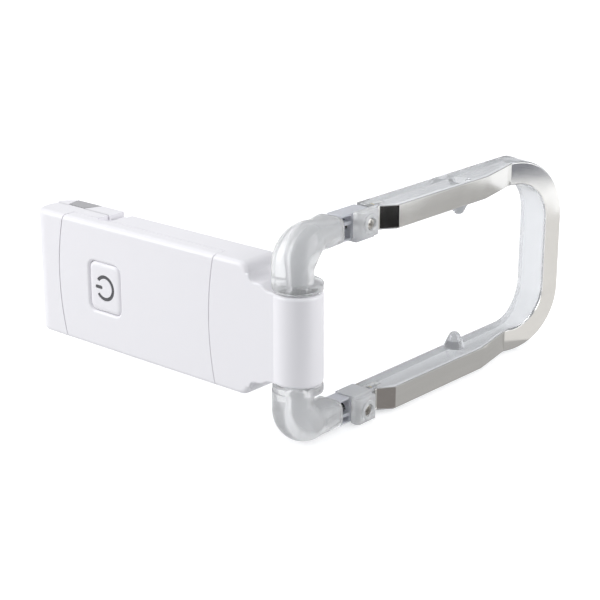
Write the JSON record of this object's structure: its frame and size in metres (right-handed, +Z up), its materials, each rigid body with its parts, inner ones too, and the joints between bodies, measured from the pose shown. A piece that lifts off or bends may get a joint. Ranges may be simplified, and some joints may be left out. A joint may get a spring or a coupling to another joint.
{
  "type": "clip-on book light",
  "caption": "Flat clip-on reading light: white battery body with push button and spring clip, clear light-guide loop on a hinge barrel that folds around the body.",
  "frame": {"origin": "in the clip's mouth, on the body's gripping face at half height, where a page or cover is held", "axes": "+Z up along the hinge barrel, -Y out of the button face, +X along the body from the clip towards the hinge; at rest the loop points to +Y"},
  "size_m": [0.0945, 0.108, 0.0536],
  "materials": {
    "white_shell": "white moulded plastic, semi-gloss",
    "clear_acrylic": "clear moulded acrylic, polished",
    "frosted_plastic": "white natural plastic",
    "mirror_film": "satin silver film",
    "grip_rubber": "grey soft rubber",
    "steel": "nickel-plated steel",
    "contact_brass": "sprung strip",
    "circuit_board": "green solder mask",
    "black_plastic": "moulded black",
    "led_epoxy": "clear epoxy lens",
    "tinned_wire": "tinned wire",
    "red_insulation": "red wire insulation",
    "black_insulation": "black wire insulation"
  },
  "bodies": {
    "body": {"rear_housing": "white_shell", "front_cover": "white_shell", "battery_door": "white_shell", "door_screw": "steel", "housing_screw_upper": "steel", "housing_screw_lower": "steel", "circuit_board": "circuit_board", "power_switch": "black_plastic", "driver_chip": "black_plastic", "limit_resistor": "black_plastic", "coin_cell_front": "steel", "coin_cell_rear": "steel", "minus_contact": "contact_brass", "plus_contact": "contact_brass", "jaw_pad": "grip_rubber", "clip_pin": "steel", "clip_spring": "steel", "hinge_lead_red": "red_insulation", "hinge_lead_black": "black_insulation", "hinge_bush_upper": "frosted_plastic", "hinge_bush_lower": "frosted_plastic"},
    "arm": {"light_loop": "clear_acrylic", "mirror_strip": "mirror_film", "elbow_upper": "clear_acrylic", "led_cover_upper": "clear_acrylic", "led_carrier_upper": "frosted_plastic", "cover_screw_upper": "steel", "led_upper": "led_epoxy", "led_wire_plus_upper": "tinned_wire", "led_wire_minus_upper": "tinned_wire", "elbow_lower": "clear_acrylic", "led_cover_lower": "clear_acrylic", "led_carrier_lower": "frosted_plastic", "cover_screw_lower": "steel", "led_lower": "led_epoxy", "led_wire_plus_lower": "tinned_wire", "led_wire_minus_lower": "tinned_wire"},
    "clip": {"clip_lever": "white_shell", "clip_lip": "grip_rubber"},
    "button": {"power_button": "white_shell"}
  },
  "joints": [
    {"name": "loop_hinge", "type": "hinge", "parent": "body", "child": "arm", "pos_m": [0.078, -0.0024, 0], "axis": [0, 0, 1], "range_deg": [-90, 90]},
    {"name": "clip_hinge", "type": "hinge", "parent": "body", "child": "clip", "pos_m": [0.0175, 0.0018, 0], "axis": [0, 0, -1], "range_deg": [0, 8], "stiffness_Nm_per_rad": 0.15, "springref_deg": -17.19},
    {"name": "button_press", "type": "slide", "parent": "body", "child": "button", "axis": [0, 1, 0], "range_m": [0, 0.0004], "stiffness_N_per_m": 600, "springref_m": -0.0005}
  ]
}
